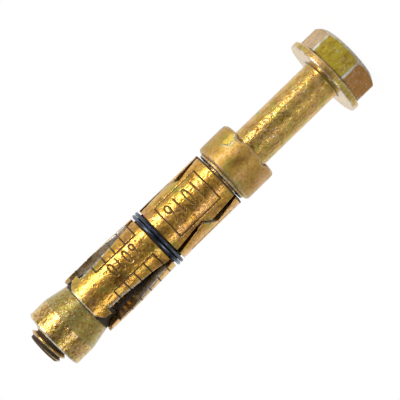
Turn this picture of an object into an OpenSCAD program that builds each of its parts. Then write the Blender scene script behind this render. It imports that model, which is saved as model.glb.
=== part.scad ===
// Shield anchor: a hex flange bolt that draws a taper nut into three expanding wall segments.
// It stands on the top of its hex head, with the threaded tip up. All lengths are in millimetres.

/* [Hole] */
// Diameter of the drilled hole that the anchor goes into
hole_d = 16; // [15.6:0.1:18]

/* [Bolt] */
// Width across the flats of the hex head
head_af = 16.65; // [15:0.05:17.5]
// Height of the hex above the flange
head_h = 6.25; // [5:0.05:8]
// How far the flat round top stays inside the flats
head_inset = 0.8; // [0.3:0.05:1.5]
// Angle of the chamfer round the top of the hex
head_chamfer_angle = 30; // [15:1:35]
// Turn of the hex against the middle of the first segment
head_turn = 1.4; // [0:0.1:30]
// Diameter of the flange
flange_d = 20.7; // [20:0.1:24]
// Whole thickness of the flange
flange_t = 2.15; // [1.4:0.05:3]
// Height of the sloped shoulder on the flange's head side
flange_slope_h = 0.55; // [0.2:0.05:0.9]
// Width of the sloped shoulder
flange_slope_w = 1.2; // [0.6:0.05:1.6]
// Radius of the flange's rim edge at the bearing face
flange_edge_r = 0.3; // [0.1:0.05:0.4]
// Diameter of the plain shank
shank_d = 9.9; // [9.85:0.01:10.1]
// Fillet between the bearing face and the shank
shank_fillet = 0.5; // [0.2:0.05:0.8]
// Outer diameter of the thread
thread_d = 9.8; // [9.3:0.05:9.84]
// Length of the thread
thread_len = 26; // [22:0.5:34]
// Length of the run-out between shank and thread
runout_len = 0.6; // [0.3:0.05:1.5]
// Length from the bearing face to the tip
bolt_len = 89.3; // [84:0.1:110]
// Height of the chamfer at the tip
tip_chamfer = 1.0; // [0.4:0.05:1.5]

/* [Taper nut] */
// How far the bolt's tip stands out of the nut
tip_proud = 3.2; // [1.8:0.1:6]
// Diameter play of the nut's nose in the hole
nut_play = 0.4; // [0.2:0.05:0.8]
// Length of the cylindrical nose
nut_nose_len = 5.1; // [3.5:0.1:8]
// Length of the taper
taper_len = 9.7; // [8.2:0.1:9.9]
// Half angle of the taper
taper_angle = 11.55; // [10.5:0.05:12.2]
// Radius of the nose's front edge
nut_edge_r = 0.35; // [0.15:0.05:0.8]
// Countersink of the nut's thread at both ends
nut_countersink = 0.35; // [0.1:0.05:0.5]

/* [Shield] */
// Length of a wall segment
shield_len = 42.05; // [38:0.05:50]
// How far the segments' feet reach over the taper
foot_overlap = 3.95; // [3:0.05:5]
// Thickness of the wall in the upper half
shield_wall = 1.78; // [1.5:0.02:1.95]
// Diameter play of the upper half in the hole
sleeve_play = 1.0; // [0.8:0.05:1.2]
// Diameter play of the top end, just above its chamfer
top_play = 1.15; // [1.0:0.05:1.4]
// Diameter play of the widest place
crown_play = 0.22; // [0.1:0.02:0.6]
// Diameter play of the feet
foot_play = 0.44; // [0.3:0.02:0.9]
// Distance of the widest place from the feet's ends
crown_from_foot = 7.85; // [5:0.05:12]
// Chamfer on the outer edge of the top end
top_chamfer = 0.55; // [0.2:0.05:0.8]
// Chamfer on the outer edge of the feet
foot_chamfer = 0.3; // [0.1:0.05:0.5]
// Clearance between the taper and the seat inside the feet
seat_gap = 0.32; // [0.28:0.01:0.45]

/* [Segment edges] */
// Edge angle at the top end on the right side, from the segment's middle
right_top = 60.5; // [57:0.5:62]
// Edge angle at the bottom of the right side's notch
right_notch = 45; // [42:0.5:52]
// Edge angle at the right side's tooth
right_tooth = 71; // [66:0.5:72]
// Edge angle under the hoop on the right side
right_root = 57; // [54:0.5:59]
// Edge angle at the top end on the left side
left_top = 53; // [50:0.5:54]
// Edge angle at the left side's tooth
left_tooth = 59; // [56:0.5:60]
// Edge angle at the bottom of the left side's notch
left_notch = 43; // [40:0.5:44]
// Edge angle under the hoop on the left side
left_root = 52; // [49:0.5:54]
// Distance of the right side's notch from the top end
notch_from_top = 6.9; // [5.8:0.1:7.2]
// Distance of the left side's tooth from the top end
left_tooth_from_top = 7.9; // [7.6:0.1:8.6]
// Distance of the left side's notch from the top end
left_notch_from_top = 9.8; // [9.2:0.1:9.9]
// Distance of the right side's tooth from the top end
tooth_from_top = 10.1; // [10:0.1:11.6]
// Edge angle where the tapered window starts, inside the hoop groove
window_root = 56.5; // [53:0.5:57]
// Edge angle where the window's taper ends
window_waist = 38.4; // [36:0.1:44]
// Edge angle at the foot of the window
window_foot = 37.6; // [34:0.1:43]
// Distance of the end of the window's taper from the feet's ends
waist_from_foot = 8.2; // [6:0.1:10]
// Length of a foot below the window
foot_len = 3.25; // [2.5:0.05:4.5]
// Edge angle of a foot at the window
foot_edge = 48.6; // [45:0.1:52]
// Edge angle of a foot at its upper corner
foot_corner = 46; // [42:0.1:47]
// Edge angle at which the foot's straight end stops
foot_end = 28; // [22:0.5:34]
// Height of a foot's slanted corner
foot_corner_h = 1.5; // [0.8:0.05:2]

/* [Engraving] */
// Depth of the engraved lines
engrave_depth = 0.14; // [0.08:0.01:0.2]
// Width of the engraved lines
engrave_w = 0.32; // [0.2:0.02:0.5]
// Angle of the long lines on the lower half
ladder_angle = 23; // [18:0.5:28]
// Distance of the first rung from the feet's ends
rung_from_foot = 7.1; // [5.5:0.05:8]
// Distance from rung to rung
rung_pitch = 3.04; // [2.4:0.02:3.2]
// Number of rungs
rung_count = 5; // [3:1:5]
// Angle of the frame's long sides on the upper half
frame_angle = 36.5; // [30:0.5:38]
// Distance of the frame's end from the top end
frame_from_top = 3.1; // [2.6:0.1:4.6]
// Distance of the frame's other end from the hoop groove
frame_from_groove = 2.8; // [2:0.1:4]

/* [Wire hoop] */
// Distance of the hoop's middle from the top end
hoop_from_top = 19.6; // [17:0.1:22]
// Diameter of the wire
wire_d = 0.85; // [0.6:0.05:1]
// Diameter over the hoop
hoop_d = 15.6; // [15.4:0.05:15.7]
// Angle over which the wire crosses from its first turn to its second
cross_angle = 50; // [40:5:90]
// Angle left free between each end of the wire and the crossing
end_angle = 6; // [4:1:20]
// Gap between one turn and the next
turn_gap = 0.08; // [0.04:0.01:0.15]
// Clearance between the wire and the floor of its groove
groove_gap = 0.45; // [0.42:0.01:0.5]
// Clearance between the wire and each wall of its groove
groove_side = 0.4; // [0.1:0.02:0.5]

/* [Ferrule] */
// Length of the ferrule's outside
ferrule_len = 8.75; // [7:0.05:14]
// Height of the lip at the shield's end
lip_h = 0.65; // [0.3:0.05:0.9]
// Distance of the lip's edge from the ferrule's outside
lip_inset = 1.2; // [0.9:0.05:1.5]
// Gap between the lip and the segments
lip_gap = 0.5; // [0.25:0.05:0.7]
// Radius of the edge at the shield's end
ferrule_lip_r = 0.9; // [0.4:0.05:1]
// Radius of the edge at the head's end
ferrule_rim_r = 0.8; // [0.4:0.05:0.9]
// Depth of the recess at the head's end
recess_depth = 1.5; // [0.8:0.05:2]
// Wall left round the recess
recess_wall = 1.5; // [1.2:0.05:1.8]
// Number of staked notches in the rim
stake_count = 6; // [3:1:8]
// Width of a staked notch
stake_w = 3.4; // [2.4:0.1:4]
// Depth of a staked notch along the axis
stake_depth = 0.65; // [0.3:0.05:0.8]
// Turn of the first notch against the middle of the first segment
stake_turn = 14.5; // [0:0.5:60]

/* [Running clearance] */
// Gap between the shank and the ferrule's bore
ferrule_gap = 0.08; // [0.03:0.01:0.1]
// Gap between the thread and the nut's bore
thread_gap = 0.08; // [0.03:0.01:0.1]

/* [Hidden] */
$fn = 72;
cut = 1;                  // how far a cutting shape reaches past what it cuts
segment_pitch = 120;
segment_front = -90;      // the first segment's middle faces -Y
gold = [0.80, 0.62, 0.22];
dark_steel = [0.24, 0.26, 0.30];

hole_r = hole_d / 2;
shank_r = shank_d / 2;
thread_r = thread_d / 2;
flange_r = flange_d / 2;
head_corner_r = head_af / 2 / cos(30);
head_flat_r = head_af / 2 - head_inset;
bearing_z = head_h + flange_t;
tip_z = bearing_z + bolt_len;
thread_z = tip_z - thread_len;

nut_r = hole_r - nut_play / 2;
nut_top_z = tip_z - tip_proud;
taper_z = nut_top_z - nut_nose_len;
nut_end_z = taper_z - taper_len;
taper_slope = tan(taper_angle);
nut_end_r = nut_r - taper_len * taper_slope;

foot_z = nut_end_z + foot_overlap;
shield_z = foot_z - shield_len;
sleeve_r = hole_r - sleeve_play / 2;
top_r = hole_r - top_play / 2;
crown_r = hole_r - crown_play / 2;
foot_r = hole_r - foot_play / 2;
shield_bore_r = sleeve_r - shield_wall;
seat_r = nut_end_r + foot_overlap * taper_slope + seat_gap;
seat_h = (seat_r - shield_bore_r) / taper_slope;

wire_r = wire_d / 2;
hoop_r = hoop_d / 2 - wire_r;
hoop_pitch = wire_d + turn_gap;
hoop_h = hoop_pitch + wire_d;
hoop_angle = 720 - cross_angle - 2 * end_angle;  // from one end of the wire to the other
groove_h = hoop_h + 2 * groove_side;
groove_r = hoop_r - wire_r - groove_gap;
groove_low = hoop_from_top - groove_h / 2;
groove_high = hoop_from_top + groove_h / 2;
groove_bend = groove_h / 4;  // the edge lines turn inside the groove, this far from its walls

ferrule_bore_r = shank_r + ferrule_gap;
lip_r = hole_r - lip_inset;
ferrule_top = shield_z - lip_gap;
ferrule_high = ferrule_top - lip_h;
ferrule_low = ferrule_high - ferrule_len;
nut_bore_r = thread_r + thread_gap;

// Outer radius of the shield at a height above its top end, before the groove and the chamfers.
shield_outline = [[0, top_r], [groove_low, sleeve_r], [groove_high, sleeve_r],
                  [shield_len - crown_from_foot, crown_r], [shield_len, foot_r]];
function outline_r(h) = lookup(h, shield_outline);

// Place across the gap line, 60 degrees from a segment's middle, of an edge at a given angle.
function gap_line(angle) = sleeve_r * sin(angle - segment_pitch / 2);

// A small square with a round bite, which rounds a corner of a profile when it is taken off.
module corner_bite(r, place, turn) {
    translate(place) rotate(turn) difference() {
        translate([-cut, -cut]) square([r + cut, r + cut]);
        translate([r, r]) circle(r);
        translate([r, -2 * cut]) square([2 * cut, r + 4 * cut]);
        translate([-2 * cut, r]) square([r + 4 * cut, 2 * cut]);
    }
}

module hex_head() {
    flat_turn = segment_front + head_turn;
    chamfer_h = (head_corner_r + cut - head_flat_r) * tan(head_chamfer_angle);
    intersection() {
        rotate(flat_turn + 30) cylinder(h = head_h + flange_t / 2, r = head_corner_r, $fn = 6);
        rotate_extrude() polygon([[0, 0], [head_flat_r, 0], [head_corner_r + cut, chamfer_h],
                                  [head_corner_r + cut, bearing_z], [0, bearing_z]]);
    }
}

module bolt_body() {
    rotate_extrude() difference() {
        polygon([[0, head_h / 2], [head_flat_r, head_h / 2], [head_flat_r, head_h],
                 [flange_r - flange_slope_w, head_h], [flange_r, head_h + flange_slope_h],
                 [flange_r, bearing_z], [shank_r + shank_fillet, bearing_z],
                 [shank_r, bearing_z + shank_fillet], [shank_r, thread_z - runout_len],
                 [thread_r, thread_z], [thread_r, tip_z - tip_chamfer],
                 [thread_r - tip_chamfer, tip_z], [0, tip_z]]);
        corner_bite(flange_edge_r, [flange_r, bearing_z], 180);
    }
}

module hex_flange_bolt() {
    color(gold) union() {
        hex_head();
        bolt_body();
    }
}

module ferrule_tube() {
    rotate_extrude() difference() {
        polygon([[ferrule_bore_r, ferrule_low + recess_depth], [hole_r - recess_wall, ferrule_low + recess_depth],
                 [hole_r - recess_wall, ferrule_low], [hole_r, ferrule_low], [hole_r, ferrule_high],
                 [lip_r, ferrule_high], [lip_r - lip_h / 2, ferrule_top], [ferrule_bore_r, ferrule_top]]);
        corner_bite(ferrule_lip_r, [hole_r, ferrule_high], 180);
        corner_bite(ferrule_rim_r, [hole_r, ferrule_low], 90);
    }
}

// One staked notch: a round-bottomed bite across the rim.
module stake_notch() {
    bite_r = (stake_w * stake_w / 4 + stake_depth * stake_depth) / (2 * stake_depth);
    translate([hole_r - recess_wall - cut, 0, ferrule_low + stake_depth - bite_r])
        rotate([0, 90, 0]) cylinder(h = recess_wall + 2 * cut, r = bite_r);
}

module ferrule() {
    color(gold) difference() {
        ferrule_tube();
        for (i = [0 : stake_count - 1])
            rotate(segment_front + stake_turn + i * 360 / stake_count) stake_notch();
    }
}

// Half a turn of the shield's wall, with its height counted from the top end.
module shield_half() {
    rotate(-90) rotate_extrude(angle = 180) difference() {
        polygon([[shield_bore_r, 0], [top_r - top_chamfer, 0], [top_r, top_chamfer],
                 [sleeve_r, groove_low], [groove_r, groove_low],
                 [groove_r, groove_high], [sleeve_r, groove_high],
                 [crown_r, shield_len - crown_from_foot], [foot_r, shield_len - foot_chamfer],
                 [foot_r - foot_chamfer, shield_len], [shield_bore_r, shield_len]]);
        polygon([[shield_bore_r - cut, shield_len - seat_h - cut / taper_slope],
                 [seat_r + cut * taper_slope, shield_len + cut], [shield_bore_r - cut, shield_len + cut]]);
    }
}

// Takes away what lies past an edge line, square through the wall at the gap between two segments.
module edge_cut(side, upper) {
    lower = [[gap_line(window_root), groove_high - groove_bend],
             [gap_line(window_waist), shield_len - waist_from_foot],
             [gap_line(window_foot), shield_len - foot_len], [gap_line(foot_edge), shield_len - foot_len], [gap_line(foot_corner), shield_len - foot_corner_h],
             [gap_line(foot_end), shield_len], [gap_line(foot_end), shield_len + cut]];
    outside = [[hole_r, shield_len + cut], [hole_r, -cut]];
    mirror([0, side < 0 ? 1 : 0, 0]) rotate(segment_pitch / 2) rotate([90, 0, 90])
        linear_extrude(hole_r + cut) polygon(concat(upper, lower, outside));
}

// A shallow band in the outer surface between two angles and two heights.
module engraved_band(angles, heights) {
    knots = [for (p = shield_outline) if (p[0] > heights[0] && p[0] < heights[1]) p[0]];
    levels = concat([heights[0]], knots, [heights[1]]);
    floor_line = [for (h = levels) [outline_r(h) - engrave_depth, h]];
    rotate(angles[0]) rotate_extrude(angle = angles[1] - angles[0])
        polygon(concat([[hole_r + cut, heights[1]], [hole_r + cut, heights[0]]], floor_line));
}

// Two ladders of lines on the lower half and a plain frame on the upper half.
module engraving() {
    half_turn = engrave_w / 2 / sleeve_r * 180 / PI;
    last_rung = rung_from_foot + (rung_count - 1) * rung_pitch;
    ladder = [shield_len - last_rung, shield_len - rung_from_foot];
    frame_low = frame_from_top;
    frame_high = groove_low - frame_from_groove;
    for (side = [-1, 1]) {
        engraved_band([side * ladder_angle - half_turn, side * ladder_angle + half_turn], ladder);
        for (i = [0 : rung_count - 1]) {
            h = shield_len - rung_from_foot - i * rung_pitch;
            far = side * segment_pitch / 2;
            near = side * ladder_angle;
            engraved_band([min(near, far), max(near, far)], [h - engrave_w / 2, h + engrave_w / 2]);
        }
        engraved_band([side * frame_angle - half_turn, side * frame_angle + half_turn], [frame_low, frame_high]);
    }
    for (h = [frame_low, frame_high])
        engraved_band([-frame_angle, frame_angle], [h - engrave_w / 2, h + engrave_w / 2]);
}

module shield_segment(index) {
    right = [[gap_line(right_top), -cut], [gap_line(right_top), 0], [gap_line(right_notch), notch_from_top],
             [gap_line(right_tooth), tooth_from_top], [gap_line(right_root), groove_low + groove_bend]];
    left = [[gap_line(left_top), -cut], [gap_line(left_top), 0], [gap_line(left_tooth), left_tooth_from_top],
            [gap_line(left_notch), left_notch_from_top], [gap_line(left_root), groove_low + groove_bend]];
    color(gold) translate([0, 0, shield_z]) rotate(segment_front + index * segment_pitch) difference() {
        shield_half();
        edge_cut(1, right);
        edge_cut(-1, left);
        engraving();
    }
}

// Height of the wire's middle at an angle before or after the crossing: two flat turns and a slope between.
function coil_height(a) =
    let (rise = min(max(a / cross_angle, -0.5), 0.5)) shield_z + hoop_from_top + sin(180 * rise) * hoop_pitch / 2;

// The points of a round wire section at an angle before or after the crossing.
function coil_ring(a, sides) =
    let (z = coil_height(a), place = a - segment_front)
    [for (k = [0 : sides - 1]) let (c = k * 360 / sides, r = hoop_r + wire_r * cos(c))
        [r * cos(place), r * sin(place), z + wire_r * sin(c)]];

module wire_hoop() {
    sides = 10;
    steps = ceil(hoop_angle / 7);
    rings = [for (i = [0 : steps]) coil_ring(hoop_angle * (i / steps - 0.5), sides)];
    points = [for (ring = rings, p = ring) p];
    walls = [for (i = [0 : steps - 1], k = [0 : sides - 1])
        [i * sides + k, i * sides + (k + 1) % sides, (i + 1) * sides + (k + 1) % sides, (i + 1) * sides + k]];
    start_cap = [[for (k = [0 : sides - 1]) sides - 1 - k]];
    end_cap = [[for (k = [0 : sides - 1]) steps * sides + k]];
    color(dark_steel) polyhedron(points, concat(walls, start_cap, end_cap));
}

module taper_nut() {
    color(gold) rotate_extrude() difference() {
        polygon([[nut_bore_r, nut_end_z + nut_countersink], [nut_bore_r + nut_countersink, nut_end_z],
                 [nut_end_r, nut_end_z], [nut_r, taper_z], [nut_r, nut_top_z],
                 [nut_bore_r + nut_countersink, nut_top_z], [nut_bore_r, nut_top_z - nut_countersink]]);
        corner_bite(nut_edge_r, [nut_r, nut_top_z], 180);
    }
}

hex_flange_bolt();
ferrule();
shield_segment(0);  // shield_segment_a
shield_segment(1);  // shield_segment_b
shield_segment(2);  // shield_segment_c
wire_hoop();
taper_nut();
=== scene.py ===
"""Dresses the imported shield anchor: yellow zinc steel, a dark wire hoop, and studio light on white."""

import logging
import math
from collections.abc import Callable
from dataclasses import dataclass
from enum import Enum

import bmesh
import bpy
from bmesh.types import BMesh, BMVert
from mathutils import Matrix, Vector, noise


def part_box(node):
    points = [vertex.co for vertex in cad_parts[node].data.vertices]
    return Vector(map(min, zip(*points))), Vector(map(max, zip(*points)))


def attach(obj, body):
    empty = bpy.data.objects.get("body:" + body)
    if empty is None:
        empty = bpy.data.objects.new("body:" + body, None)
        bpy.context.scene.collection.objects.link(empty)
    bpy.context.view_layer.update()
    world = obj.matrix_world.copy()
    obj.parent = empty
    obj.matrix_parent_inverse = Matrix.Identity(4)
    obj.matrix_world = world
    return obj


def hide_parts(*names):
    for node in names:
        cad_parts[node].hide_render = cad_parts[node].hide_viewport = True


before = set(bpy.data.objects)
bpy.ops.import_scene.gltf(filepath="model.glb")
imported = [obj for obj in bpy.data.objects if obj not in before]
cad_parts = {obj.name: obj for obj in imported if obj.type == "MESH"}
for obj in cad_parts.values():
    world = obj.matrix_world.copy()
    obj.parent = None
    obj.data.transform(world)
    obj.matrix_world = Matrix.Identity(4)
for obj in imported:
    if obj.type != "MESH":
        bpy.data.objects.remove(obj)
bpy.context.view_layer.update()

MM = 0.001
FULL_TURN = 2 * math.pi
SIXTH = math.radians(60)
SEGMENT_PITCH = math.radians(120)
SEGMENT_FRONT = math.radians(-90)
SMOOTH_ANGLE = math.radians(40)
FROM_EDGE = (0.04, 0.09, 0.16, 0.25)

Point = tuple[float, float]
Line = tuple[Point, Point]
Span = tuple[float, float]
Colour = tuple[float, float, float]
Socket = bpy.types.NodeSocket
Value = Socket | float | tuple
log = logging.getLogger("anchor")


class Slot(Enum):
    """The record's material slots."""

    BOLT = "bolt_zinc"
    FERRULE = "ferrule_zinc"
    SHIELD = "shield_zinc"
    NUT = "nut_zinc"
    WIRE = "spring_wire"


def smooth_step(low: float, high: float, value: float) -> float:
    """A soft step from 0 at low to 1 at high."""
    t = min(max((value - low) / (high - low), 0.0), 1.0)
    return t * t * (3 - 2 * t)


def soft_min(a: float, b: float, blend: float) -> float:
    """The smaller of two lengths, rounded where they meet.

    Args:
        a: The first length.
        b: The second length.
        blend: The span over which they blend.

    Returns:
        A length at or a little under the smaller one.
    """
    h = min(max(0.5 + 0.5 * (b - a) / blend, 0.0), 1.0)
    return b + (a - b) * h - blend * h * (1 - h)


def spread(low: float, high: float, step: float) -> list[float]:
    """Even stops from low up to, and without, high, at most a step apart."""
    count = max(1, math.ceil((high - low) / step - 1e-6))
    return [low + (high - low) * i / count for i in range(count)]


def stops_between(knots: list[float], step: float) -> list[float]:
    """Every knot, with even stops between them.

    Args:
        knots: Rising values that are all kept.
        step: The widest gap allowed.

    Returns:
        The rising list of stops.
    """
    stops = [s for low, high in zip(knots, knots[1:]) for s in spread(low, high, step)]
    return stops + [knots[-1]]


def arc(centre: Point, radius: float, start: float, end: float, count: int) -> list[Point]:
    """Points on a round corner of a profile.

    Args:
        centre: The corner's centre, as radius and height.
        radius: The corner's radius.
        start: Its first angle in degrees.
        end: Its last angle in degrees.
        count: How many steps it has.

    Returns:
        Points in order, both ends among them.
    """
    angles = [math.radians(start + (end - start) * i / count) for i in range(count + 1)]
    return [(centre[0] + radius * math.cos(a), centre[1] + radius * math.sin(a)) for a in angles]


def refine(profile: list[Point], step: float) -> list[Point]:
    """The same profile with points added along its long straight stretches.

    Args:
        profile: Points in order, as radius and height.
        step: The widest gap allowed.

    Returns:
        All the points in order.
    """
    fine: list[Point] = []
    for (r0, z0), (r1, z1) in zip(profile, profile[1:]):
        count = max(1, math.ceil(math.hypot(r1 - r0, z1 - z0) / step - 1e-6))
        fine += [(r0 + (r1 - r0) * i / count, z0 + (z1 - z0) * i / count) for i in range(count)]
    return fine + [profile[-1]]


def lathe(profile: list[Point], steps: int, closed: bool) -> BMesh:
    """Turns a profile round the bolt's axis.

    Args:
        profile: Radius and height of each point.
        steps: How many steps a full turn has.
        closed: Whether the last point joins the first, as on a ring.

    Returns:
        The turned surface, with its normals outwards.
    """
    bm = bmesh.new()
    verts = [bm.verts.new((r, 0, z)) for r, z in profile]
    edges = [bm.edges.new(pair) for pair in zip(verts, verts[1:])]
    if closed:
        edges.append(bm.edges.new((verts[-1], verts[0])))
    bmesh.ops.spin(bm, geom=verts + edges, cent=(0, 0, 0), axis=(0, 0, 1), dvec=(0, 0, 0),
                   angle=FULL_TURN, steps=steps, use_merge=True, use_duplicate=False)
    bmesh.ops.remove_doubles(bm, verts=bm.verts[:], dist=1e-7)
    bmesh.ops.recalc_face_normals(bm, faces=bm.faces[:])
    return bm


def reshape(bm: BMesh, rule: Callable[[float, float, float], Point]) -> None:
    """Moves every vertex by a rule in cylinder coordinates.

    Args:
        bm: The mesh.
        rule: Takes radius, angle and height, and gives the new radius and height.
    """
    for v in bm.verts:
        angle = round_axis(v.co)
        r, z = rule(from_axis(v.co), angle, v.co.z)
        v.co = (r * math.cos(angle), r * math.sin(angle), z)


def roughen(bm: BMesh, depth: float, grain: float,
            where: Callable[[Vector], float]) -> None:
    """Presses small dents into a surface along its normals.

    Args:
        bm: The mesh.
        depth: The deepest dent.
        grain: The width of a dent.
        where: Gives from 0 to 1 how much a place takes.
    """
    bm.normal_update()
    moves = []
    for v in bm.verts:
        share = where(v.co)
        if share > 0:
            dent = noise.fractal(v.co / grain, 0.6, 2.0, 3)
            moves.append((v, v.normal * (depth * share * min(dent, 0.0))))
    for v, move in moves:
        v.co += move


def from_axis(p: Vector) -> float:
    """How far a place is from the bolt's axis."""
    return math.hypot(p.x, p.y)


def round_axis(p: Vector) -> float:
    """The angle of a place round the bolt's axis."""
    return math.atan2(p.y, p.x)


def beyond(radius: float) -> Callable[[Vector], float]:
    """A rule that gives 1 further from the axis than a radius, and 0 nearer."""
    return lambda p: float(from_axis(p) > radius)


def turn_from(angle: float, middle: float) -> float:
    """The angle from a middle line, between minus and plus half a turn."""
    return (angle - middle + math.pi) % FULL_TURN - math.pi


def near_segment(p: Point, a: Point, b: Point) -> float:
    """The distance from a point to a straight line between two points.

    Args:
        p: The point.
        a: The line's first end.
        b: The line's other end.

    Returns:
        The distance.
    """
    ab = (b[0] - a[0], b[1] - a[1])
    ap = (p[0] - a[0], p[1] - a[1])
    t = (ap[0] * ab[0] + ap[1] * ab[1]) / (ab[0] ** 2 + ab[1] ** 2)
    t = min(max(t, 0.0), 1.0)
    return math.hypot(ap[0] - t * ab[0], ap[1] - t * ab[1])


def edge_wear(bm: BMesh, sharp: float, flat: float) -> list[float]:
    """How rubbed each vertex is: 1 on an outward edge, falling to 0 away from it.

    Args:
        bm: The mesh.
        sharp: The bend in degrees at which an edge counts as fully rubbed.
        flat: Bends up to this share of sharp count as flat.

    Returns:
        One value for each vertex.
    """
    values = [0.0] * len(bm.verts)
    bm.verts.index_update()
    for e in bm.edges:
        if len(e.link_faces) == 2 and e.is_convex:
            bend = math.degrees(e.calc_face_angle()) / sharp
            for v in e.verts:
                values[v.index] = max(values[v.index], min(1.0, max(0.0, bend - flat)))
    return values


def put_in_scene(name: str, data: bpy.types.ID) -> bpy.types.Object:
    """Makes an object of a mesh, a camera or a lamp.

    Args:
        name: Its name.
        data: What it is made of.

    Returns:
        The object.
    """
    obj = bpy.data.objects.new(name, data)
    bpy.context.scene.collection.objects.link(obj)
    return obj


def finish_piece(bm: BMesh, node: str, body: str, material: bpy.types.Material,
                 marks: dict[str, list[float]]) -> bpy.types.Object:
    """Makes a mesh an object, dresses it and fixes it to its CAD body.

    Args:
        bm: The mesh, which is freed.
        node: The CAD node that it stands for, which also gives its name.
        body: The CAD body that it moves with.
        material: Its finish.
        marks: Values for each vertex that the finish reads, by name.

    Returns:
        The new object.
    """
    name = f"{node}_dressed"
    mesh = bpy.data.meshes.new(name)
    for f in bm.faces:
        f.smooth = True
    for e in bm.edges:
        e.smooth = len(e.link_faces) != 2 or e.calc_face_angle() < SMOOTH_ANGLE
    bm.to_mesh(mesh)
    bm.free()
    for mark, values in marks.items():
        mesh.attributes.new(mark, "FLOAT", "POINT").data.foreach_set("value", values)
    mesh.materials.append(material)
    obj = put_in_scene(name, mesh)
    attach(obj, body)
    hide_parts(node)
    return obj


class NodeTree:
    """A short way to lay out the shader nodes of a material or a world."""

    def __init__(self, holder: bpy.types.Material | bpy.types.World) -> None:
        """Empties the holder's tree and keeps it.

        Args:
            holder: The material or the world.
        """
        holder.use_nodes = True
        self.tree = holder.node_tree
        self.tree.nodes.clear()

    def add(self, kind: str, settings: dict | None = None, inputs: dict | None = None) -> bpy.types.Node:
        """Adds a node.

        Args:
            kind: The node's type.
            settings: Properties of the node, by name.
            inputs: Input sockets by name or place, each a value or a socket to link from.

        Returns:
            The node.
        """
        node = self.tree.nodes.new(kind)
        for key, value in (settings or {}).items():
            setattr(node, key, value)
        for key, value in (inputs or {}).items():
            if isinstance(value, Socket):
                self.tree.links.new(value, node.inputs[key])
            else:
                node.inputs[key].default_value = value
        return node

    def place(self) -> Socket:
        """The place on the object."""
        return self.add("ShaderNodeTexCoord").outputs["Object"]

    def mark(self, name: str) -> Socket:
        """A mark of the mesh, from 0 to 1."""
        return self.add("ShaderNodeAttribute", {"attribute_name": name}).outputs["Fac"]

    def noise(self, place: Socket, scale: float, detail: float,
              distortion: float = 0.0) -> Socket:
        """Fractal noise at a place, from 0 to 1.

        Args:
            place: Where the noise is read.
            scale: How fine it is.
            detail: How many finer layers it has.
            distortion: How far it is warped.

        Returns:
            The noise's socket.
        """
        node = self.add("ShaderNodeTexNoise", {},
                        {"Vector": place, "Scale": scale, "Detail": detail, "Distortion": distortion})
        return node.outputs["Fac"]

    def drawn(self, scale: tuple[float, float, float]) -> Socket:
        """The place on the object, with its three parts scaled."""
        return self.add("ShaderNodeMapping", {}, {"Vector": self.place(), "Scale": scale}).outputs[0]

    def bump(self, strength: float, depth: float, height: Value) -> Socket:
        """A normal bent by a height."""
        inputs = {"Strength": strength, "Distance": depth, "Height": height}
        return self.add("ShaderNodeBump", {}, inputs).outputs[0]

    def ramp(self, value: Socket, stops: list[tuple[float, Colour]]) -> Socket:
        """Colours along a value.

        Args:
            value: The value that is looked up.
            stops: Pairs of place and colour.

        Returns:
            The colour's socket.
        """
        node = self.add("ShaderNodeValToRGB", {}, {"Fac": value})
        elements = node.color_ramp.elements
        while len(elements) < len(stops):
            elements.new(0.5)
        for element, (place, colour) in zip(elements, stops):
            element.position = place
            element.color = (*colour, 1.0)
        return node.outputs["Color"]

    def mix(self, factor: Value, a: Value, b: Colour) -> Socket:
        """Lays a plain colour over another colour."""
        return self.add("ShaderNodeMix", {"data_type": "RGBA"}, {0: factor, 6: a, 7: (*b, 1.0)}).outputs[2]

    def math(self, operation: str, a: Value, b: Value = 0.0) -> Socket:
        """Works out one number from one or two."""
        return self.add("ShaderNodeMath", {"operation": operation}, {0: a, 1: b}).outputs[0]

    def times(self, a: Value, b: Value) -> Socket:
        """Multiplies two numbers."""
        return self.math("MULTIPLY", a, b)

    def larger(self, a: Value, b: Value) -> Socket:
        """The larger of two numbers."""
        return self.math("MAXIMUM", a, b)

    def map(self, value: Socket, low: float, high: float,
            to_low: float, to_high: float) -> Socket:
        """Carries a value from one range to another, held at its ends."""
        inputs = {0: value, 1: low, 2: high, 3: to_low, 4: to_high}
        return self.add("ShaderNodeMapRange", {}, inputs).outputs[0]

    def mirrored(self) -> Socket:
        """1 for a glossy or a transmission ray."""
        seen = self.add("ShaderNodeLightPath")
        return self.larger(seen.outputs["Is Glossy Ray"], seen.outputs["Is Transmission Ray"])

    def direct(self) -> Socket:
        """1 for a camera ray."""
        return self.add("ShaderNodeLightPath").outputs["Is Camera Ray"]

    def surface(self, shader: bpy.types.Node) -> None:
        """Makes a shader the material's surface."""
        self.add("ShaderNodeOutputMaterial", {}, {"Surface": shader.outputs[0]})


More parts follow.
